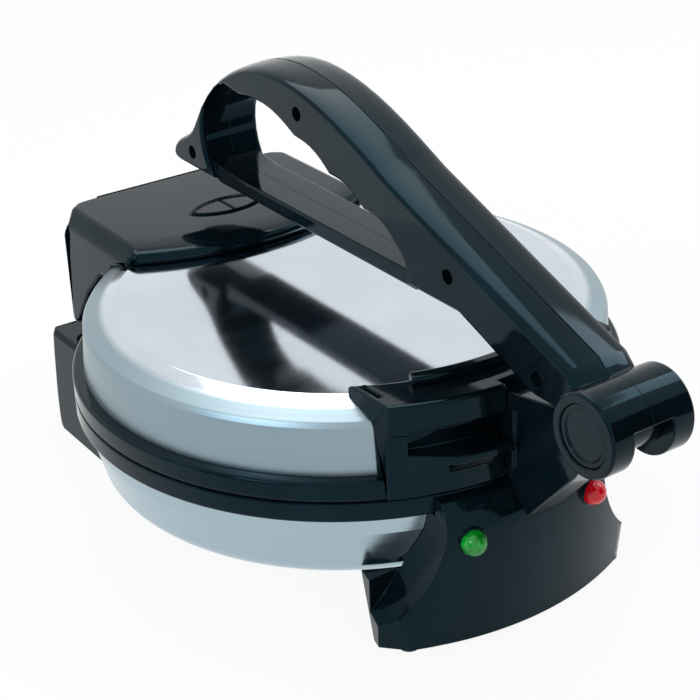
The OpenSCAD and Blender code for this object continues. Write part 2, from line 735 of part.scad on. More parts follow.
module hood_form(d) {
    top = hood_top - d;
    low = d > 0 ? hood_low_z - 5 : hood_low_z;
    flare = 2.6;
    intersection() {
        side_slab(-rim_r, rim_r) polygon(concat(
            [[10, flat_z - 14 - 3 * d], [rim_r - 16.6, flat_z - 14 - 3 * d],
             [rim_r - 1.5, lid_rim_top - 0.8 - 3 * d],
             [hinge_y - 4.4, low + 1], [hinge_y, low]],
            arc([hinge_y, hinge_z], hood_back_r - d, -90, 0, 10),
            [[hood_back_y - d, hood_top - 6 - d], [hood_back_y - d - 5, top], [10, top]]));
        front_slab(0, 220) polygon([
            [-hood_half - flare + d, low], [hood_half + flare - d, low],
            [hood_half - d, hood_top - 6], [hood_top_half - d * 0.4, top],
            [-hood_top_half + d * 0.4, top], [-hood_half + d, hood_top - 6]]);
        translate([0, hood_front_c, 0]) rotate_extrude() polygon([
            [0, 40], [hood_front_r - d, 40], [hood_front_r - d, flat_z + hood_face_h - d],
            [hood_front_r - hood_slope * 0.45, top - 0.5], [hood_front_r - hood_slope - d, top], [0, top]]);
        linear_extrude(140) polygon(concat(
            [[-90, 10], [90, 10], [90, hood_back_y - 19], [hood_half + flare - d - 3, hood_back_y - 14 - d]],
            arc([0, hood_back_y - hood_rear_bulge], hood_rear_bulge - d, 90 - 11.5, 90 + 11.5, 10),
            [[-hood_half - flare + d + 3, hood_back_y - 14 - d], [-90, hood_back_y - 19]]));
    }
}

inset_y = flat_r - 2.8;
inset_half = 19.8;
inset_w = 8.2;
inset_t = 1.2;

// Pointed oval made of two arcs, half length a and half width b
module oval(a, b) {
    r = (a * a + b * b) / (2 * b);
    s = asin(a / r);
    polygon(concat(arc([0, b - r], r, 90 - s, 90 + s, 14), arc([0, r - b], r, 270 - s, 270 + s, 14)));
}

module ear_outline() {
    polygon(concat(arc([hinge_y, hinge_z], 9, -180, 0, 14),
        [[hood_back_y - 1, hinge_z + 2], [hood_back_y - 1, hood_top - 8],
         [hood_back_y - 8, hood_top - 1.2], [hinge_y - 9, hood_top - 1.2]]));
}

ear_inner = post_x - post_w / 2 - ear_gap - ear_w;
ear_outer = post_x + post_w / 2 + ear_gap;
module hinge_hood() placed() color(black) difference() {
    union() {
        difference() {
            hood_form(0);
            difference() {
                hood_form(wall);
                for (p = hood_screws_at) translate([p[0], p[1], flat_z - 5]) cylinder(r = 3.6, h = 40);
            }
            cover_body(0.3);
            translate([0, 0, lid_rim_z - 30]) cylinder(r = rim_r + 0.4, h = 30 + lid_rim_h + 0.4);
            both_sides() side_slab(post_x - post_w / 2 - ear_gap, post_x + post_w / 2 + ear_gap)
                polygon([[hinge_y - 10, 30], [hood_back_y + 9, 30],
                         [hood_back_y + 9, hinge_z + post_r + 3], [hinge_y - 10, hinge_z + post_r + 3]]);
        }
        intersection() {
            hood_form(0);
            both_sides() for (x = [ear_inner, ear_outer]) side_slab(x, x + ear_w) ear_outline();
        }
    }
    both_sides() rod_x(ear_inner - 1, ear_outer + ear_w + 1, hinge_y, hinge_z, pin_r + run_gap);
    // relief that lets the hood's lower edge pass the base rim as it opens
    translate([-relief_half, hinge_y - hood_back_r, hood_low_z - 1])
        cube([2 * relief_half, 2 * hood_back_r + 1, relief_h + 1]);
    translate([0, inset_y, hood_top - inset_t]) linear_extrude(5) oval(inset_half + 0.2, inset_w + 0.2);
    for (p = hood_screws_at) translate([p[0], p[1], flat_z - 1]) cylinder(r = 1.3, h = 4.6);
}

// Two-part oval inlay in the top of the hood
module hood_inset() placed() color([0.14, 0.17, 0.18]) translate([0, inset_y, hood_top - inset_t + 0.05])
    difference() {
        linear_extrude(inset_t + 0.1) oval(inset_half, inset_w);
        translate([-0.4, -20, 0.4]) cube([0.8, 40, 5]);
    }

module hood_screws() placed() color(bright) for (p = hood_screws_at) translate([p[0], p[1], 0]) union() {
    translate([0, 0, flat_z - sheet - 1.7]) cylinder(r = 3, h = 1.6);
    translate([0, 0, flat_z - sheet - 1]) cylinder(r = 1.25, h = 4.4);
}

// Front lug of the lid

lug_band_z = lug_top - lug_band_h;
lug_shelf_z = lug_band_z - lug_recess_h;
recess_half = lug_half - 7.8;
slot_half = bracket_half + 0.25;

module lug_section() {
    polygon(concat(
        [[flat_r + 0.7, flat_z + 0.4], [flat_r + 0.7, lug_top - 2], [flat_r + 2, lug_top - 1],
         [lug_r - 0.4, lug_top], [lug_r + 0.9, lug_top - 0.8],
         [lug_r + 0.9, lug_band_z - 1.5], [lug_r, lug_band_z - 1.5],
         [lug_r, lid_rim_z + 0.5], [rim_r + 0.3, lid_rim_z + 0.5],
         [rim_r + 0.3, lid_rim_top + 0.3]],
        [for (i = [6:-1:1]) cover_line(0.3)[i] + [0, i == 6 ? 0.2 : 0]]));
}

shelf_half = 35;
shelf_side_y = -sqrt(pow(shelf_r, 2) - pow(shelf_half, 2));
module lid_lug() placed() color(black) difference() {
    union() {
        difference() {
            intersection() {
                front_sector(asin(lug_half / lug_r) + 13) lug_section();
                translate([-lug_half, -2 * rim_r, 0]) cube([2 * lug_half, 2 * rim_r, 2 * lug_top]);
            }
            difference() {
                translate([0, 0, lug_shelf_z]) cylinder(r = shelf_r + 9, h = lug_recess_h);
                translate([0, 0, lug_shelf_z - 1]) cylinder(r = lug_r - 5.2, h = lug_recess_h + 2);
                both_sides() translate([recess_half, -2 * rim_r, 0]) cube([rim_r, 2 * rim_r, 2 * lug_top]);
            }
        }
        difference() {
            translate([0, 0, lug_shelf_z - shelf_t]) intersection() {
                cylinder(r = shelf_r, h = shelf_t);
                linear_extrude(shelf_t) polygon([
                    [-recess_half - 1, 11.1 - lug_r], [-shelf_half, shelf_side_y],
                    [-shelf_half, -shelf_r - 9], [shelf_half, -shelf_r - 9],
                    [shelf_half, shelf_side_y], [recess_half + 1, 11.1 - lug_r]]);
            }
            translate([0, 0, lug_shelf_z - 20]) cylinder(r = lug_r - 1.5, h = 30);
        }
        front_sector(16) polygon([
            [lug_r - 0.5, lug_shelf_z - shelf_t - 6], [lug_r, lug_shelf_z - shelf_t - 6],
            [shelf_r - 1.5, lug_shelf_z - shelf_t], [shelf_r - 1.5, lug_shelf_z - shelf_t + 0.5],
            [lug_r - 0.5, lug_shelf_z - shelf_t + 0.5]]);
    }
    translate([-slot_half, -pivot_reach, 0])
        cube([2 * slot_half, pivot_reach - bracket_root_y + 0.05, 2 * lug_top]);
    both_sides() translate([lug_half - 4.6, -flat_r - 0.7, lug_top - 2.8]) cube([1.8, 12, 5]);
    for (z = bracket_screw_z)
        translate([0, -bracket_root_y - 4, z]) rotate([-90, 0, 0]) cylinder(r = 1.6, h = 8);
}

// Ridge on the lug that takes the push of the lever
module press_pad() placed() color([0.13, 0.15, 0.16]) front_sector(20.5) polygon([
    [flat_r + 2.4, lug_top - 0.75], [flat_r + 2.4, lug_top + 2.4], [flat_r + 3.4, lug_top + 3.4],
    [flat_r + 7.6, lug_top + 3.4], [flat_r + 8.6, lug_top + 2.4], [flat_r + 8.6, lug_top - 0.5]]);

// Bracket that carries the lever's pivot in front of the lug

bracket_root_y = cover_wall_r + 2.1;
bracket_toe = [-rim_r - 14.7, lid_rim_z - 11.5];
bracket_top_z = lug_top - 4.5;
knuckle_end = 281;
slot_end = 2;

module bracket_outline() {
    polygon(concat(
        [[-bracket_root_y, lid_rim_top + 0.4], [-bracket_root_y, bracket_top_z]],
        arc([pivot_y, pivot_z], knuckle_r, 0, knuckle_end, 28),
        [[pivot_y + 7.4, pivot_z - 15.6], [pivot_y + 15.4, pivot_z - 29],
         bracket_toe + [-0.8, 0.6], bracket_toe,
         [-rim_r - 7.4, lid_rim_z - 3.9], [-rim_r - 2, lid_rim_z + 2],
         [-rim_r - 0.5, lid_rim_z + 3], [-rim_r - 0.5, lid_rim_top + 0.4]]));
}

module pivot_bracket() placed() color([0.07, 0.08, 0.09]) difference() {
    side_slab(-bracket_half, bracket_half) bracket_outline();
    rod_x(-bracket_half - 1, bracket_half + 1, pivot_y, pivot_z, axle_r + 0.02);
    for (z = bracket_screw_z)
        translate([0, -bracket_root_y - 8, z]) rotate([-90, 0, 0]) cylinder(r = 1.3, h = 9);
    both_sides() side_slab(bracket_half - 1.6, bracket_half + 1) polygon([
        [-rim_r - 5.5, lid_rim_z + 6], [-rim_r - 5.5, bracket_top_z - 6], [pivot_y + 34.4, pivot_z - 9],
        [pivot_y + 26.4, pivot_z - 22], [pivot_y + 39.4, lid_rim_z + 4]]);
}

module bracket_screws() placed() color(bright) for (z = bracket_screw_z)
    translate([0, 0, z]) rotate([90, 0, 0]) union() {
        translate([0, 0, cover_edge_r - 2.2]) cylinder(r = 2.9, h = 1.1);
        translate([0, 0, cover_edge_r - 2]) cylinder(r = 1.25, h = bracket_root_y - cover_edge_r + 7);
    }

axle_half = barrel_half - 3.2;
module pivot_axle() placed() color(bright) difference() {
    rod_x(-axle_half, axle_half, pivot_y, pivot_z, axle_r);
    both_sides() translate([axle_half - 1.9, pivot_y, pivot_z]) rotate([0, 90, 0]) difference() {
        cylinder(r = axle_r + 1, h = 0.9);
        translate([0, 0, -1]) cylinder(r = axle_r - 0.8, h = 3);
    }
}

module axle_clips() placed() color(bright) both_sides()
    translate([axle_half - 1.8, pivot_y, pivot_z]) rotate([0, 90, 0]) difference() {
        cylinder(r = axle_r + 3, h = 0.7);
        translate([0, 0, -1]) cylinder(r = axle_r - 0.75, h = 3);
        translate([-axle_r + 1.2, 0, -1]) cube([2 * axle_r - 2.4, 20, 3]);
    }

// Lever

grip_top = [28, bar_z + 68.4];
grip_back = [98, bar_z + 29.2];
beak = [114, bar_z + 15.7];
arm_low_z = bar_z + 0.8;
neck_y = -105;
pivot = [pivot_y, pivot_z];
arm_start = [-56, bar_z + 44.5];

// Outer line of the lever, seen from the right, counter-clockwise
lever_line = concat(
    curve([[beak[0], arm_low_z], [beak[0] + 10.5, arm_low_z], [beak[0] + 10, beak[1] - 5], beak], 8),
    curve([beak, [beak[0] - 6, beak[1] + 3], [grip_back[0] + 5, grip_back[1] - 8.5], grip_back], 5),
    curve([grip_back, [84, bar_z + 52.2], [58, grip_top[1]], grip_top], 9),
    curve([grip_top, [-2, grip_top[1]], [-28, bar_z + 57.2], arm_start], 9),
    [arm_start, [-100, bar_z + 28.1], pivot + [32.4, 26.5], pivot + [14.4, 20], pivot + [3, 9],
     pivot + [8, 0], pivot + [16.4, -0.8], pivot + [32.4, -0.5],
     pivot + [35.4, 0.6], [-112, arm_low_z - 2.8], [neck_y - 2, arm_low_z - 0.5], [neck_y + 4, arm_low_z]]);

// Inner line of the grip: a finger scallop between each pair of ridges and
// a round rear end
ridges = [for (q = [[56, 49.8], [12, 43], [-14, 33.4], [-38.5, 25.4], [-59.5, 17.8]]) q + [0, bar_z]];
grip_line = concat(
    [for (k = [0:3], i = [0:6])
        let (a = ridges[k], b = ridges[k + 1], t = i / 7, deep = k == 0 ? 1.7 : 1)
        a + (b - a) * t - left_of(a, b) * scallop * deep * sin(180 * t)],
    [ridges[4], [-65.5, bar_z + 12.7], [-67.5, bar_z + 8.2], [-67.5, bar_z - 1], [78, bar_z - 1]],
    arc([62, bar_z + 22.7], 29.5, -52, 78, 12));

// A solid of one outline in layers along X, each layer moved inwards
module layers(p, xs, leans) {
    n = len(p);
    last = len(xs) - 1;
    points = [for (k = [0:last], v = inset(p, leans[k])) [xs[k], v[0], v[1]]];
    polyhedron(points = points, faces = concat(
        [[for (i = [0:n - 1]) i]], [[for (i = [n - 1:-1:0]) last * n + i]],
        [for (k = [0:last - 1], i = [0:n - 1])
            [k * n + i, (k + 1) * n + i, (k + 1) * n + (i + 1) % n, k * n + (i + 1) % n]]),
        convexity = 8);
}

lever_screw_at = [beak - [12.3, 5.3], grip_top - [19.6, 14.2], [-95.1, bar_z + 15.8], pivot + [31, 8.7]];
slot_wall = bracket_half + bracket_gap;
slot_start = knuckle_end - lever_swing - 2;
seam = 0.06;
screw_depth = 8;
cap_r = 12.3;
cap_depth = 2.6;

// The right half; the left one is its mirror image
module lever_half_solid() {
    crown = lever_crown;
    difference() {
        union() {
            difference() {
                layers(lever_line,
                    [-2, 0.1, 0.5, 7, 11.5, lever_half - 1.3, lever_half],
                    [0.4, 0.4, 0, crown * 0.12, crown * 0.33, crown * 0.6, crown]);
                layers(grip_line, [-3, lever_half - 2.6, lever_half - 0.8, lever_half + 0.1],
                    [0, 0, -0.5, -1.8]);
            }
            side_slab(-2, bar_half) polygon([
                [-74, bar_z + 3], [-70, bar_z], [82, bar_z], [92, bar_z + 4.5], [88, bar_z + bar_t + 2],
                [70, bar_z + bar_t], [-64, bar_z + bar_t], [-74, bar_z + bar_t + 2]]);
            rod_x(-2, barrel_half - 0.8, pivot_y, pivot_z, barrel_r);
            translate([barrel_half - 0.8, pivot_y, pivot_z]) rotate([0, 90, 0])
                cylinder(r1 = barrel_r, r2 = barrel_r - 0.8, h = 0.8);
        }
        // slot that lets the lever swing round the bracket
        side_slab(-3, slot_wall) polygon(concat([[pivot_y, pivot_z]],
            arc([pivot_y, pivot_z], 2 * barrel_r, slot_start, 360 + slot_end, 20)));
        rod_x(-3, slot_wall, pivot_y, pivot_z, knuckle_r + 0.4);
        rod_x(-3, barrel_half + 1, pivot_y, pivot_z, axle_r + run_gap);
        rod_x(axle_half - 2.4, barrel_half + 1, pivot_y, pivot_z, axle_r + 3.6);
        rod_x(barrel_half - cap_depth, barrel_half + 1, pivot_y, pivot_z, cap_r + 0.1);
        for (p = lever_screw_at) rod_x(-3, 11, p[0], p[1], 1.3);
        // the seam between the halves
        translate([-10, -300, 0]) cube([10 + seam / 2, 600, 300]);
    }
}

module lever_right() placed() color([0.09, 0.11, 0.12]) lever_half_solid();

module lever_left() placed() color([0.10, 0.12, 0.13]) difference() {
    mirror([1, 0, 0]) lever_half_solid();
    for (p = lever_screw_at) {
        rod_x(-lever_half - 3, -screw_depth, p[0], p[1], 3.2);
        rod_x(-12, 1, p[0], p[1], 1.6);
    }
}

// Stepped end caps of the barrel
module pivot_cap() {
    translate([barrel_half - cap_depth + 0.1, pivot_y, pivot_z]) rotate([0, 90, 0]) difference() {
        cylinder(r = cap_r, h = cap_depth - 0.9);
        translate([0, 0, 0.9]) cylinder(r = cap_r - 2.2, h = 5);
        translate([0, 0, -1]) cylinder(r = axle_r - 0.5, h = 1.4);
    }
}

module pivot_cap_left() placed() color([0.11, 0.13, 0.14]) mirror([1, 0, 0]) pivot_cap();
module pivot_cap_right() placed() color([0.11, 0.13, 0.14]) pivot_cap();

module lever_screws() placed() color(bright) for (p = lever_screw_at) {
    rod_x(-screw_depth - 1.9, -screw_depth - 0.05, p[0], p[1], 2.9);
    rod_x(-screw_depth - 1, 9, p[0], p[1], 1.25);
}

base_pan();
base_rim();
lower_plate();
lower_heater();
lower_reflector();
base_bolt();
thermostat();
thermal_fuse();
terminal_block();
front_housing();
lamp_lens_green();
lamp_lens_red();
neon_lamps();
lamp_retainers();
rear_housing();
rubber_feet();
cord_gland();
hinge_pins();
base_screws();
lid_cover();
lid_rim();
upper_plate();
upper_heater();
upper_reflector();
reflector_nut();
hinge_hood();
hood_inset();
hood_screws();
lid_lug();
press_pad();
pivot_bracket();
bracket_screws();
pivot_axle();
axle_clips();
lever_left();
lever_right();
pivot_cap_left();
pivot_cap_right();
lever_screws();
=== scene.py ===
# %% [markdown]
# # An electric flatbread maker
# The object is a round countertop cooker: a steel pan and a steel lid with a
# hot plate in each, black moulded housings at the front and back, and a long
# press lever that swings up on a front pivot. The frame holds every rigid
# piece at its real size. This lesson gives the pieces their surfaces, adds
# the stage and the light, and sets the camera where the photographer stood.

# %% Load the frame
import json
from math import cos, pi, radians, sin, sqrt

import bpy
import bmesh
import numpy as np
from mathutils import Matrix, Vector

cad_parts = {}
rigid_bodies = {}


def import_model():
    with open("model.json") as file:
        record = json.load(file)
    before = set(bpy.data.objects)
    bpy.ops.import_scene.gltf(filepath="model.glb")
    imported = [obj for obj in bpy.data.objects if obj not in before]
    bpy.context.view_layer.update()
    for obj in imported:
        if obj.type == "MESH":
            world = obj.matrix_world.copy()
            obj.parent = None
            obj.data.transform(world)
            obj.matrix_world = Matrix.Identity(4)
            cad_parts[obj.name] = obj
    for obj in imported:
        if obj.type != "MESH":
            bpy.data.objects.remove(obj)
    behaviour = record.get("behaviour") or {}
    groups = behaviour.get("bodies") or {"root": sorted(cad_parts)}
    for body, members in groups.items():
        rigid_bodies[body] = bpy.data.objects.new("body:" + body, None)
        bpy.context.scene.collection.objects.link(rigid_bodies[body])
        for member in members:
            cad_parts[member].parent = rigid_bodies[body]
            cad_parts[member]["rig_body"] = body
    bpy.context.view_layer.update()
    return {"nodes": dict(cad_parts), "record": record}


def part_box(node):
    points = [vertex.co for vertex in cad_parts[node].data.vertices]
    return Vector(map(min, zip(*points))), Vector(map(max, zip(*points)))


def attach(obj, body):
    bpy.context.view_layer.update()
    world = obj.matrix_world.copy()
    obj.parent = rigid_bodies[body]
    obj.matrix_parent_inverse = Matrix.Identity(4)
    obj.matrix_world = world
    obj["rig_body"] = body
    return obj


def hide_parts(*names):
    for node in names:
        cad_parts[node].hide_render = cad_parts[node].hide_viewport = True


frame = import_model()
nodes = frame["nodes"]
print("pieces in the frame:", len(nodes))

MM = 0.001
# The body's round axis stands this far behind the frame's origin.
AXIS_Y = 21.1

# %% [markdown]
# ## Camera
# The rims are circles, so the ellipses in the photograph tell the height and
# the turn of the camera. The picture is square, so one field of view serves
# both ways. The camera leans by two degrees, as a hand-held one does.

# %% Camera
VIEW_AZIMUTH, VIEW_ELEVATION, VIEW_ROLL = -33.85, 26.89, -2.05
VIEW_DISTANCE = 786.27
VIEW_TARGET = Vector((3.63, 2.47 + AXIS_Y, 68.02))
FOCAL_PIXELS = 1732.63
IMAGE_PIXELS = 700
SENSOR = 36.0


def aim_camera():
    """Places the camera on a sphere round its target, then rolls it about its own sight line."""
    a, e, roll = radians(VIEW_AZIMUTH), radians(VIEW_ELEVATION), radians(VIEW_ROLL)
    back = Vector((sin(a) * cos(e), -cos(a) * cos(e), sin(e)))
    right = Vector((cos(a), sin(a), 0))
    up = back.cross(right)
    x = cos(roll) * right + sin(roll) * up
    y = -sin(roll) * right + cos(roll) * up
    camera = bpy.data.objects.new("camera", bpy.data.cameras.new("camera"))
    camera.data.sensor_width = SENSOR
    camera.data.lens = SENSOR * FOCAL_PIXELS / IMAGE_PIXELS
    camera.data.clip_start = 0.01
    place = (VIEW_TARGET + back * VIEW_DISTANCE) * MM
    camera.matrix_world = Matrix((
        (x.x, y.x, back.x, place.x),
        (x.y, y.y, back.y, place.y),
        (x.z, y.z, back.z, place.z),
        (0, 0, 0, 1)))
    bpy.context.scene.collection.objects.link(camera)
    bpy.context.scene.camera = camera
    return camera


camera = aim_camera()
print("lens in mm:", round(camera.data.lens, 1))

# %% [markdown]
# ## Helpers for materials
# Colours are written as the hex values that a screen shows, and turned to the
# linear values that Blender mixes. One helper sets a node's inputs and links
# whatever is itself a socket, and one adds a node. Patterns read Object
# coordinates, so their sizes are real millimetres on the piece.

# %% Colour and node helpers
def linear(hex_colour, alpha=1.0):
    """An sRGB hex colour as linear RGBA, by the sRGB curve."""
    parts = [int(hex_colour[i:i + 2], 16) / 255 for i in (1, 3, 5)]
    curve = [c / 12.92 if c <= 0.04045 else ((c + 0.055) / 1.055) ** 2.4 for c in parts]
    return (*curve, alpha)


def set_inputs(tree, node, inputs):
    """A socket among the inputs is linked, any other value is set."""
    for key, value in inputs.items():
        if isinstance(value, bpy.types.NodeSocket):
            tree.links.new(value, node.inputs[key])
        else:
            node.inputs[key].default_value = value
    return node


def add_node(tree, kind, inputs=None, **settings):
    """Adds a node with its settings, then sets and links its inputs."""
    node = tree.nodes.new(kind)
    for name, value in settings.items():
        setattr(node, name, value)
    return set_inputs(tree, node, inputs or {})


def new_material(name):
    """An empty node material with its Principled shader and the place on the piece."""
    material = bpy.data.materials.new(name)
    material.use_nodes = True
    tree = material.node_tree
    shader = tree.nodes["Principled BSDF"]
    where = add_node(tree, "ShaderNodeTexCoord").outputs["Object"]
    return material, tree, shader, where


# %% [markdown]
# ## Moulded black plastic
# The housings and the lever are injection moulded ABS with a polished
# surface: nearly black, with a clear mirror. Three noises make it real. Broad
# clouds change its tone, fine rubbing marks change its gloss, and shallow
# waves are what a moulding keeps from its cooling. ABS has an IOR near 1.5.
# It is set lower here, to match how dark the real pieces stay in white light.

# %% Glossy black ABS
ABS_GLOSS = 0.07
CLOUD_MM, RUB_MM, WAVE_MM, WAVE_DEPTH = 38, 3.5, 9, 0.015


def glossy_abs():
    """Clouds mix two near-black tones, rubbing marks set the roughness, and waves set the relief."""
    material, tree, shader, where = new_material("glossy_black_abs")
    clouds = add_node(tree, "ShaderNodeTexNoise", {
        "Vector": where, "Scale": 1 / (CLOUD_MM * MM), "Detail": 3, "Roughness": 0.5}).outputs["Fac"]
    share = add_node(tree, "ShaderNodeMapRange", {
        "Value": clouds, "From Min": 0.3, "From Max": 0.7}).outputs["Result"]
    tone = add_node(tree, "ShaderNodeMix", {
        "Factor": share, "A": linear("#050C10"), "B": linear("#0A171E")}, data_type="RGBA")
    marks = add_node(tree, "ShaderNodeTexNoise", {
        "Vector": where, "Scale": 1 / (RUB_MM * MM), "Detail": 6, "Roughness": 0.65}).outputs["Fac"]
    roughness = add_node(tree, "ShaderNodeMapRange", {
        "Value": marks, "From Min": 0.35, "From Max": 0.75,
        "To Min": ABS_GLOSS * 0.8, "To Max": ABS_GLOSS * 1.45}).outputs["Result"]
    waves = add_node(tree, "ShaderNodeTexNoise", {
        "Vector": where, "Scale": 1 / (WAVE_MM * MM), "Detail": 1, "Roughness": 0.5}).outputs["Fac"]
    relief = add_node(tree, "ShaderNodeBump", {
        "Height": waves, "Distance": WAVE_DEPTH * MM, "Strength": 1.0}).outputs["Normal"]
    # The teal specular tint is a painted reflection colour: it turns every mirror image on the plastic teal.
    set_inputs(tree, shader, {
        "Base Color": tone.outputs["Result"], "Roughness": roughness, "Normal": relief,
        "IOR": 1.32, "Specular Tint": linear("#86CDE6")})
    return material


black_abs = glossy_abs()
print("material:", black_abs.name)

# %% [markdown]
# ## Polished steel sheet
# Pan and lid are deep-drawn stainless steel. The flat of the lid is brushed
# with a belt, which leaves fine scratches along x, and the shoulder and wall
# are polished while they spin, which leaves rings round the axis. Noise that
# reads the distance from the axis and the height makes such rings. The
# scratches are drawn coarser than real ones, as finer ones wouldn't show.
# Shoulder and wall get darker tones than the sheet itself: a painted reflection
# of the darker room that the real ones mirror, which a white studio lacks.

# %% Brushed stainless steel
SCRATCH_MM, RING_MM, SMUDGE_MM = 0.9, 0.8, 45


def axis_distance(tree, where):
    """The distance from the body's axis, and a vector (distance, 0, height) for rings."""
    centred = add_node(tree, "ShaderNodeVectorMath", {
        0: where, 1: (0, AXIS_Y * MM, 0)}, operation="SUBTRACT").outputs["Vector"]
    parts = add_node(tree, "ShaderNodeSeparateXYZ", {"Vector": centred}).outputs
    level = add_node(tree, "ShaderNodeCombineXYZ", {
        "X": parts["X"], "Y": parts["Y"]}).outputs["Vector"]
    distance = add_node(tree, "ShaderNodeVectorMath", {0: level}, operation="LENGTH").outputs["Value"]
    rings_at = add_node(tree, "ShaderNodeCombineXYZ", {
        "X": distance, "Z": parts["Z"]}).outputs["Vector"]
    return distance, rings_at


def polished_steel(name, gloss, spun_gloss, depth, flat_r, outer_painted_reflection, wall_r, wall_painted_reflection):
    """Belt scratches inside flat_r, spun rings outside it, and darker tones of painted reflection outside
    flat_r and again from wall_r outwards.
    """
    material, tree, shader, where = new_material(name)
    distance, rings_at = axis_distance(tree, where)
    outside = add_node(tree, "ShaderNodeMapRange", {
        "Value": distance, "From Min": flat_r * MM, "From Max": (flat_r + 3) * MM}).outputs["Result"]
    wall = add_node(tree, "ShaderNodeMapRange", {
        "Value": distance, "From Min": (wall_r - 0.6) * MM,
        "From Max": wall_r * MM}).outputs["Result"]
    along = add_node(tree, "ShaderNodeMapping", {
        "Vector": where, "Scale": (0.01, 1, 1)}).outputs["Vector"]
    belt = add_node(tree, "ShaderNodeTexNoise", {
        "Vector": along, "Scale": 1 / (SCRATCH_MM * MM), "Detail": 4, "Roughness": 0.6}).outputs["Fac"]
    rings = add_node(tree, "ShaderNodeTexNoise", {
        "Vector": rings_at, "Scale": 1 / (RING_MM * MM), "Detail": 4, "Roughness": 0.6}).outputs["Fac"]
    scratches = add_node(tree, "ShaderNodeMix", {0: outside, 2: belt, 3: rings}).outputs[0]

    smudges = add_node(tree, "ShaderNodeTexNoise", {
        "Vector": where, "Scale": 1 / (SMUDGE_MM * MM), "Detail": 3, "Roughness": 0.5}).outputs["Fac"]
    tone = add_node(tree, "ShaderNodeMapRange", {
        "Value": smudges, "From Min": 0.3, "From Max": 0.7}).outputs["Result"]
    tone = add_node(tree, "ShaderNodeMix", {
        "Factor": tone, "A": linear("#C6D0D8"), "B": linear("#D3DBE3")}, data_type="RGBA")
    # The two darker tones are painted reflection of a darker room, not a finish of the steel.
    for share, next_tone in ((outside, outer_painted_reflection), (wall, wall_painted_reflection)):
        tone = add_node(tree, "ShaderNodeMix", {
            "Factor": share, "A": tone.outputs["Result"], "B": linear(next_tone)}, data_type="RGBA")

    satin = add_node(tree, "ShaderNodeMapRange", {
        "Value": outside, "To Min": gloss, "To Max": spun_gloss}).outputs["Result"]
    varied = add_node(tree, "ShaderNodeMapRange", {
        "Value": scratches, "From Min": 0.3, "From Max": 0.7,
        "To Min": 0.85, "To Max": 1.3}).outputs["Result"]
    roughness = add_node(tree, "ShaderNodeMath", {0: satin, 1: varied}, operation="MULTIPLY")
    relief = add_node(tree, "ShaderNodeBump", {
        "Height": scratches, "Distance": depth * MM, "Strength": 0.6}).outputs["Normal"]
    set_inputs(tree, shader, {
        "Base Color": tone.outputs["Result"], "Metallic": 1.0,
        "Roughness": roughness.outputs["Value"], "Normal": relief})
    return material


# Each steel's outer and wall tones are painted reflection, darker than the sheet.
lid_steel = polished_steel(
    "polished_stainless_lid", gloss=0.085, spun_gloss=0.34, depth=0.009,
    flat_r=106, outer_painted_reflection="#8FA1A9", wall_r=120.6, wall_painted_reflection="#73929D")
pan_steel = polished_steel(
    "polished_stainless_pan", gloss=0.2, spun_gloss=0.2, depth=0.003,
    flat_r=60, outer_painted_reflection="#BCCBD2", wall_r=100, wall_painted_reflection="#A6BAC4")
print("materials:", lid_steel.name, pan_steel.name)

# %% [markdown]
# ## The other finishes
# Castings, plating, rubber and ceramic each have one grain, and it shows in
# three ways at once: where the grain is high the surface is paler, rougher
# and a little raised. So one function makes them all from a few values. The
# lamp lenses are clear coloured acrylic and glow faintly.

# %% Grained finishes and acrylic
def grained(name, dark, light, grain, detail, rough, gloss, depth, tones=(0.3, 0.7), **uniform):
    """Noise of grain mm mixes dark and light, sets roughness within gloss, and makes a relief of depth mm."""
    material, tree, shader, where = new_material(name)
    pattern = add_node(tree, "ShaderNodeTexNoise", {
        "Vector": where, "Scale": 1 / (grain * MM), "Detail": detail, "Roughness": rough}).outputs["Fac"]
    share = add_node(tree, "ShaderNodeMapRange", {
        "Value": pattern, "From Min": tones[0], "From Max": tones[1]}).outputs["Result"]
    tone = add_node(tree, "ShaderNodeMix", {
        "Factor": share, "A": linear(dark), "B": linear(light)}, data_type="RGBA")
    roughness = add_node(tree, "ShaderNodeMapRange", {
        "Value": pattern, "From Min": 0.3, "From Max": 0.7,
        "To Min": gloss[0], "To Max": gloss[1]}).outputs["Result"]
    relief = add_node(tree, "ShaderNodeBump", {
        "Height": pattern, "Distance": depth * MM, "Strength": 1.0}).outputs["Normal"]
    set_inputs(tree, shader, {
        "Base Color": tone.outputs["Result"], "Roughness": roughness, "Normal": relief, **uniform})
    return material


def lamp_acrylic(name, deep, bright):
    """Coloured acrylic that lets a little light through, with the ripples of its moulding."""
    material, tree, shader, where = new_material(name)
    clouds = add_node(tree, "ShaderNodeTexNoise", {
        "Vector": where, "Scale": 1 / (4 * MM), "Detail": 2, "Roughness": 0.5}).outputs["Fac"]
    share = add_node(tree, "ShaderNodeMapRange", {
        "Value": clouds, "From Min": 0.3, "From Max": 0.7}).outputs["Result"]
    tone = add_node(tree, "ShaderNodeMix", {
        "Factor": share, "A": linear(deep), "B": linear(bright)}, data_type="RGBA")
    ripples = add_node(tree, "ShaderNodeTexNoise", {
        "Vector": where, "Scale": 1 / (2.2 * MM), "Detail": 1, "Roughness": 0.5}).outputs["Fac"]
    relief = add_node(tree, "ShaderNodeBump", {
        "Height": ripples, "Distance": 0.12 * MM, "Strength": 1.0}).outputs["Normal"]
    set_inputs(tree, shader, {
        "Base Color": tone.outputs["Result"], "Emission Color": tone.outputs["Result"],
        "Emission Strength": 0.12, "IOR": 1.49, "Transmission Weight": 0.1,
        "Roughness": 0.08, "Normal": relief})
    return material


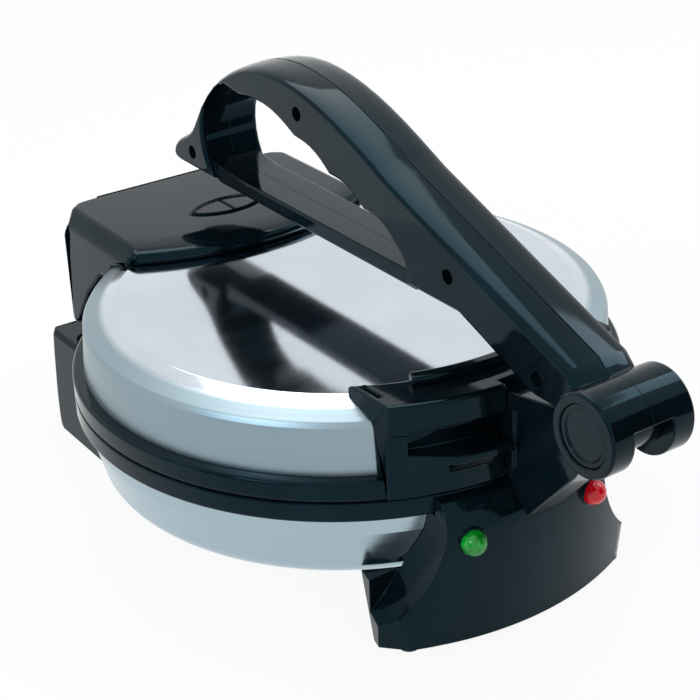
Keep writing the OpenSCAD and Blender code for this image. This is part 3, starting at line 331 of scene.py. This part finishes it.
finishes = {
    "black_plastic": black_abs,
    "stainless": lid_steel,
    # Cast aluminium with a dark coat: a fine speckle, half matt.
    "coated_casting": grained(
        "nonstick_coated_casting", "#2B2C2E", "#3D3F42", grain=1.2, detail=4, rough=0.7,
        gloss=(0.34, 0.5), depth=0.02, tones=(0.45, 0.62), IOR=1.4),
    # Zinc plate on steel: cloudy, with a soft mirror.
    "bright_metal": grained(
        "bright_zinc_plate", "#B9BABB", "#D2D3D2", grain=6, detail=5, rough=0.6,
        gloss=(0.22, 0.38), depth=0.01, Metallic=1.0),
    # Fired ceramic without a glaze: chalky and matt.
    "ceramic": grained(
        "unglazed_ceramic", "#D9D2C3", "#EFEADD", grain=0.9, detail=6, rough=0.6,
        gloss=(0.55, 0.8), depth=0.03, tones=(0, 1)),
    # Blown glass of the small lamps: smooth, with a warm glow gas inside.
    "lamp_glass": grained(
        "neon_lamp_glass", "#F2C7A8", "#FFE3CC", grain=3, detail=2, rough=0.5,
        gloss=(0.05, 0.05), depth=0, tones=(0, 1), IOR=1.5),
    # Moulded rubber: black, dusty and matt.
    "rubber": grained(
        "matt_black_rubber", "#131313", "#262626", grain=0.8, detail=5, rough=0.6,
        gloss=(0.6, 0.85), depth=0.03, tones=(0, 1)),
    "green_lens": lamp_acrylic("green_lamp_acrylic", "#06701C", "#0E9A2E"),
    "red_lens": lamp_acrylic("red_lamp_acrylic", "#C00414", "#E00A20")}
print("finishes:", len(finishes))

# %% [markdown]
# ## Dress the frame's own pieces
# Pieces whose solid already has the right shape keep it and only get their
# finish, by the slot that the record names for each.

# %% Finishes on the frame's pieces
slot_of = {s["node"]: s["material_slot"] for s in frame["record"]["subparts"]}


def dress(node, material):
    """Puts one material on a frame piece."""
    mesh = nodes[node].data
    mesh.materials.clear()
    mesh.materials.append(material)


for node in nodes:
    dress(node, finishes[slot_of[node]])
dress("base_pan", pan_steel)
print("dressed:", len(nodes))

# %% [markdown]
# ## The turned lid
# The steel cover of the lid is pressed and then spun, so it is a figure of
# revolution: a closed profile, rounded at its corners, that runs once round
# the body's axis. It could be the frame's own mesh, but this one has finer
# rings and soft corners. Its outer radius, top and foot come from the frame.

# %% Profile, turning and replacement
def box_mm(node):
    """Lowest and highest corner of a frame piece in millimetres from the body's axis."""
    low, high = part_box(node)
    shift = Vector((0, AXIS_Y, 0))
    return low / MM - shift, high / MM - shift


def rounded(corners, steps=6):
    """A closed polygon of (r, z, radius) corners with a circular arc of that radius at each corner."""
    line = []
    for i, (r, z, radius) in enumerate(corners):
        p = np.array((r, z), float)
        a = np.array(corners[i - 1][:2], float) - p
        b = np.array(corners[(i + 1) % len(corners)][:2], float) - p
        if radius == 0:
            line.append(p)
            continue
        a, b = a / np.linalg.norm(a), b / np.linalg.norm(b)
        half = np.arccos(np.clip(a @ b, -1, 1)) / 2
        middle = p + (a + b) / np.linalg.norm(a + b) * radius / sin(half)
        start, end = p + a * radius / np.tan(half), p + b * radius / np.tan(half)
        for t in np.linspace(0, 1, steps + 1):
            out = start * (1 - t) + end * t - middle
            line.append(middle + out / np.linalg.norm(out) * radius)
    return np.array(line)


def surface_object(name, points, faces, sharp=30):
    """A mesh object from points in millimetres from the body's axis, smooth but for sharp edges."""
    mesh = bpy.data.meshes.new(name)
    mesh.from_pydata((points + (0, AXIS_Y, 0)) * MM, [], faces)
    mesh.validate()
    mesh.shade_smooth()
    mesh.set_sharp_from_angle(angle=radians(sharp))
    thing = bpy.data.objects.new(name, mesh)
    bpy.context.scene.collection.objects.link(thing)
    return thing


def grid_faces(rows, columns):
    """Quads of a grid that closes on itself both ways."""
    i, j = np.meshgrid(np.arange(rows), np.arange(columns), indexing="ij")
    i2, j2 = (i + 1) % rows, (j + 1) % columns
    corners = [i * columns + j, i2 * columns + j, i2 * columns + j2, i * columns + j2]
    return np.stack(corners, -1).reshape(-1, 4)


def turned(name, corners, turns=240):
    """Point (t, u) is the profile's point u turned by t about the axis: (r cos t, r sin t, z)."""
    line = rounded(corners)
    t = np.linspace(0, 2 * pi, turns, endpoint=False)[:, None]
    points = np.stack([line[:, 0] * np.cos(t), line[:, 0] * np.sin(t), line[:, 1] + 0 * t], -1)
    return surface_object(name, points.reshape(-1, 3), grid_faces(turns, len(line)).tolist())


def stands_for(piece, node, material):
    """The piece is shown instead of the frame's node, and moves with the same body."""
    piece.data.materials.append(material)
    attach(piece, nodes[node]["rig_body"])
    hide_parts(node)
    return piece


# %% [markdown]
# ## The lid's own profile
# From the axis outwards the outer line is flat, then falls over the shoulder
# and leans down the wall. The inner line comes back one sheet thickness
# inside it. The third value of each corner is the radius of its rounding.
# Both lines stop just short of the axis, which leaves a hole too small to see.

# %% Lid cover
SHEET = 0.9
AXIS_R = 0.05
WALL_LEAN, SHOULDER_W, SHOULDER_DROP = 1.4, 14.6, 6.6
cover_low, cover_high = box_mm("lid_cover")
cover_r, flat_z = cover_high.x, cover_high.z
ledge_z = cover_low.z + 0.1
edge_r = cover_r - WALL_LEAN
flat_r = edge_r - SHOULDER_W
shoulder_z = flat_z - SHOULDER_DROP

outer_line = [
    (AXIS_R, flat_z, 0), (flat_r, flat_z, 2), (edge_r - 1.2, shoulder_z + 1.0, 0.8),
    (edge_r, shoulder_z - 1.2, 1.0), (cover_r, ledge_z, 0)]
inner_line = [
    (cover_r - SHEET, ledge_z, 0), (edge_r - SHEET, shoulder_z - 2.4, 1),
    (edge_r - 2.4, shoulder_z + 0.4, 0.8), (flat_r, flat_z - SHEET, 5), (AXIS_R, flat_z - SHEET, 0)]
lid = stands_for(turned("lid_cover_steel", outer_line + inner_line), "lid_cover", lid_steel)
print("steel lid:", len(lid.data.polygons), "faces")

# %% [markdown]
# ## Moulded pieces
# The frame's solids of the housings have exact outlines but knife edges. A
# moulding has none, so a copy of each gets its flat faces joined, its edges
# rounded and its normals weighted by face area, which keeps flats flat. Each
# sharp edge has a weight that scales the rounding: less where the lever's two
# halves meet and, on the cautious pieces, less where nearby edges are short.

# %% Rounded copies of frame pieces
MERGE = 2e-6
FLAT_ANGLE, SHARP_ANGLE = 0.6, 28
MIDDLE_MM = 0.4
ROOM_SHARE = 0.35


def edge_weights(work, radius, seam, cautious):
    """1 on each sharp edge, times seam in the middle plane; cautious limits it by the shortest edge there."""
    angles = np.array([edge.calc_face_angle(0) for edge in work.edges])
    middles = np.array([abs(edge.verts[0].co.x + edge.verts[1].co.x) / 2 for edge in work.edges])
    weights = (angles > radians(SHARP_ANGLE)) * np.where(middles < MIDDLE_MM * MM, seam, 1.0)
    if cautious:
        ends = np.array([(edge.verts[0].index, edge.verts[1].index) for edge in work.edges])
        lengths = np.array([edge.calc_length() for edge in work.edges])
        shortest = np.full(len(work.verts), np.inf)
        np.minimum.at(shortest, ends.ravel(), np.repeat(lengths, 2))
        weights = weights * np.minimum(1, ROOM_SHARE * shortest[ends].min(axis=1) / (radius * MM))
    return weights


def moulded(node, radius, seam, cautious, change=None):
    """A merged copy of a frame piece, changed if asked, with its sharp edges rounded by radius mm."""
    work = bmesh.new()
    work.from_mesh(nodes[node].data)
    bmesh.ops.remove_doubles(work, verts=work.verts, dist=MERGE)
    if change:
        change(work)
    bmesh.ops.dissolve_limit(
        work, angle_limit=radians(FLAT_ANGLE), verts=work.verts, edges=work.edges)
    work.verts.index_update()
    mesh = bpy.data.meshes.new(node + "_moulding")
    work.to_mesh(mesh)
    weights = mesh.attributes.new("bevel_weight_edge", "FLOAT", "EDGE")
    weights.data.foreach_set("value", edge_weights(work, radius, seam, cautious))
    work.free()
    mesh.shade_smooth()
    mesh.materials.clear()
    piece = bpy.data.objects.new(node + "_moulding", mesh)
    bpy.context.scene.collection.objects.link(piece)
    rounding = piece.modifiers.new("round_edges", "BEVEL")
    rounding.width, rounding.segments = radius * MM, 3
    rounding.limit_method = "WEIGHT"
    rounding.use_clamp_overlap = False
    flats = piece.modifiers.new("flat_normals", "WEIGHTED_NORMAL")
    flats.keep_sharp = True
    return stands_for(piece, node, black_abs)


# %% [markdown]
# ## The face of the front housing
# The real face stands almost upright where the lamps are, further out than
# the frame's flared solid. So the copy is cut at a few levels, to give it
# points to bend at, and its outer skin is moved outwards. The move fades with
# depth behind the skin and towards the top, and the lamp collars stay put.

# %% Front face
FACE_R, FACE_Z = 133.8, 50
TOP_R, TOP_Z, FLARE = 128.0, 62, 5.8
SKIN_MM = 8
FACE_LEVELS = [FACE_Z + step for step in (-34, -20, -8, 0, 3, 6, 9, 11)]


def flared_r(z):
    """Radius of the frame's solid at height z: FLARE grows with depth below the top to the power 1.35."""
    return TOP_R + FLARE * max(0, (TOP_Z + 1.3 - z) / (TOP_Z - 0.7)) ** 1.35


def full_face(work):
    """Cuts at the levels, then moves the skin out to the larger of the flare and a curve up to FACE_R."""
    for level in FACE_LEVELS:
        bmesh.ops.bisect_plane(
            work, geom=work.verts[:] + work.edges[:] + work.faces[:],
            plane_co=(0, 0, level * MM), plane_no=(0, 0, 1), dist=1e-7)
    for vert in work.verts:
        x, y, z = vert.co.x / MM, vert.co.y / MM - AXIS_Y, vert.co.z / MM
        r, skin_r = sqrt(x * x + y * y), flared_r(z)
        if r < skin_r + 0.7 and z < TOP_Z:
            t = min(1, max(0, (TOP_Z - z) / (TOP_Z - FACE_Z)))
            push = max(skin_r, TOP_R + (FACE_R - TOP_R) * t * (2 - t)) - skin_r
            grow = 1 + push * min(1, max(0, (r - skin_r + SKIN_MM) / SKIN_MM)) / r
            vert.co.x, vert.co.y = x * grow * MM, (y * grow + AXIS_Y) * MM


# %% [markdown]
# ## Rounding of each moulding
# The hood has long plain edges and takes a wide rounding. The lever and the
# front and rear housings have many short edges, so theirs is cautious, and so
# is that of the two rims.

# %% All mouldings
for node, radius, seam, cautious in (
        ("hinge_hood", 2.2, 1, False), ("hood_inset", 1.0, 1, False), ("rear_housing", 0.6, 1, True),
        ("front_housing", 0.35, 1, True), ("lid_lug", 0.9, 1, False), ("press_pad", 0.8, 1, False),
        ("pivot_bracket", 0.8, 1, False), ("lever_left", 1.4, 0.2, True),
        ("lever_right", 1.4, 0.2, True), ("pivot_cap_left", 0.5, 1, False),
        ("pivot_cap_right", 0.5, 1, False), ("base_rim", 0.5, 1, True), ("lid_rim", 0.5, 1, True)):
    change = full_face if node == "front_housing" else None
    piece = moulded(node, radius, seam, cautious, change)
    print(piece.name, len(piece.data.polygons), "faces before rounding")

# %% [markdown]
# ## Stage
# A pale floor in a white world, and two cards that only reflections see: a
# dark one on the right, which gives the black plastic its depth, and a blue
# one on the left, which gives the steel and the housings their tint. The
# photograph's camera doesn't see the floor's edge, but from lower views it
# shows faintly. The world is white to the camera, to mirrors and to glass and
# the floor nearly so, while the light they give stays plain. The floor keeps
# the object's shadow.

# %% Floor, world and cards
def stage_plane(name, size, place, turn, material):
    """A square that belongs to the stage and not to the object."""
    mesh = bpy.data.meshes.new(name)
    half = size / 2
    mesh.from_pydata([(-half, -half, 0), (half, -half, 0), (half, half, 0), (-half, half, 0)], [],
                     [(0, 1, 2, 3)])
    plane = bpy.data.objects.new(name, mesh)
    plane.location, plane.rotation_euler = place, turn
    mesh.materials.append(material)
    bpy.context.scene.collection.objects.link(plane)
    return plane


def in_view(tree):
    """1 for rays of the camera, of mirrors and of glass, and 0 for the light on the object."""
    path = add_node(tree, "ShaderNodeLightPath").outputs
    seen = path["Is Camera Ray"]
    for other in ("Is Glossy Ray", "Is Transmission Ray"):
        seen = add_node(tree, "ShaderNodeMath", {0: seen, 1: path[other]}, operation="MAXIMUM").outputs[0]
    return seen


def pale_floor(white_share=0.9):
    """Pale paint, with white_share of pure white mixed in where it is in view."""
    material, tree, shader, _ = new_material("pale_floor")
    set_inputs(tree, shader, {"Base Color": linear("#F4F4F6"), "Roughness": 0.9})
    glow = add_node(tree, "ShaderNodeEmission", {"Color": (1, 1, 1, 1), "Strength": 1.0})
    share = add_node(tree, "ShaderNodeMath", {0: in_view(tree), 1: white_share}, operation="MULTIPLY")
    mix = add_node(tree, "ShaderNodeMixShader", {
        0: share.outputs[0], 1: shader.outputs[0], 2: glow.outputs[0]})
    tree.links.new(mix.outputs[0], tree.nodes["Material Output"].inputs["Surface"])
    return material


def card(name, colour, place, size):
    """A flat studio card that only reflections see, in the colour written here."""
    material = bpy.data.materials.new(name)
    material.use_nodes = True
    tree = material.node_tree
    tree.nodes.remove(tree.nodes["Principled BSDF"])
    path = add_node(tree, "ShaderNodeLightPath")
    clear = add_node(tree, "ShaderNodeBsdfTransparent")
    glow = add_node(tree, "ShaderNodeEmission", {"Color": linear(colour), "Strength": 1.0})
    mix = add_node(tree, "ShaderNodeMixShader", {
        0: path.outputs["Is Glossy Ray"], 1: clear.outputs[0], 2: glow.outputs[0]})
    tree.links.new(mix.outputs[0], tree.nodes["Material Output"].inputs["Surface"])
    turn = (CARD_AIM - Vector(place)).to_track_quat("Z", "Y").to_euler()
    return stage_plane(name, size, place, turn, material)


world = bpy.data.worlds.new("white_cove")
bpy.context.scene.world = world
world.use_nodes = True
strength = add_node(world.node_tree, "ShaderNodeMapRange", {
    "Value": in_view(world.node_tree), "To Min": 0.5, "To Max": 1.0}).outputs["Result"]
set_inputs(world.node_tree, world.node_tree.nodes["Background"], {
    "Color": (1, 1, 1, 1), "Strength": strength})

CARD_AIM = Vector((0, 0, 0.1))
stage_plane("floor", 6, (0, 0, 0), (0, 0, 0), pale_floor())
card("dark_card_right", "#05080A", (0.5, -0.8, 0.32), 0.6)
card("blue_card_left", "#6FAAC9", (-0.95, -0.3, 0.3), 0.7)
print("stage: floor, two cards")

# %% [markdown]
# ## Light
# Three soft lamps, as in a small product studio: a cool one low on the left
# for the highlights on the steel's shoulder, a weak one on the right, and a
# large one above that opens the shadows.

# %% Lamps
LAMP_AIM = Vector((0, 0, 0.05))


def soft_lamp(name, place, size, power, colour=(1, 1, 1)):
    """A square area lamp of the given size in metres, aimed at the object."""
    light = bpy.data.lights.new(name, "AREA")
    light.shape, light.size, light.energy, light.color = "SQUARE", size, power, colour
    lamp = bpy.data.objects.new(name, light)
    lamp.location = place
    lamp.rotation_euler = (LAMP_AIM - Vector(place)).to_track_quat("-Z", "Y").to_euler()
    bpy.context.scene.collection.objects.link(lamp)
    return lamp


soft_lamp("key_left", (-0.95, -0.3, 0.6), 0.3, 5, (0.85, 0.94, 1.0))
soft_lamp("fill_right", (0.9, -0.1, 0.9), 0.5, 3, (0.88, 0.95, 1.0))
soft_lamp("top", (0.2, 0.5, 1.3), 0.9, 7)
print("lamps:", len(bpy.data.lights))

# %% Finish
bpy.context.scene.view_settings.view_transform = "Standard"
bpy.context.view_layer.update()
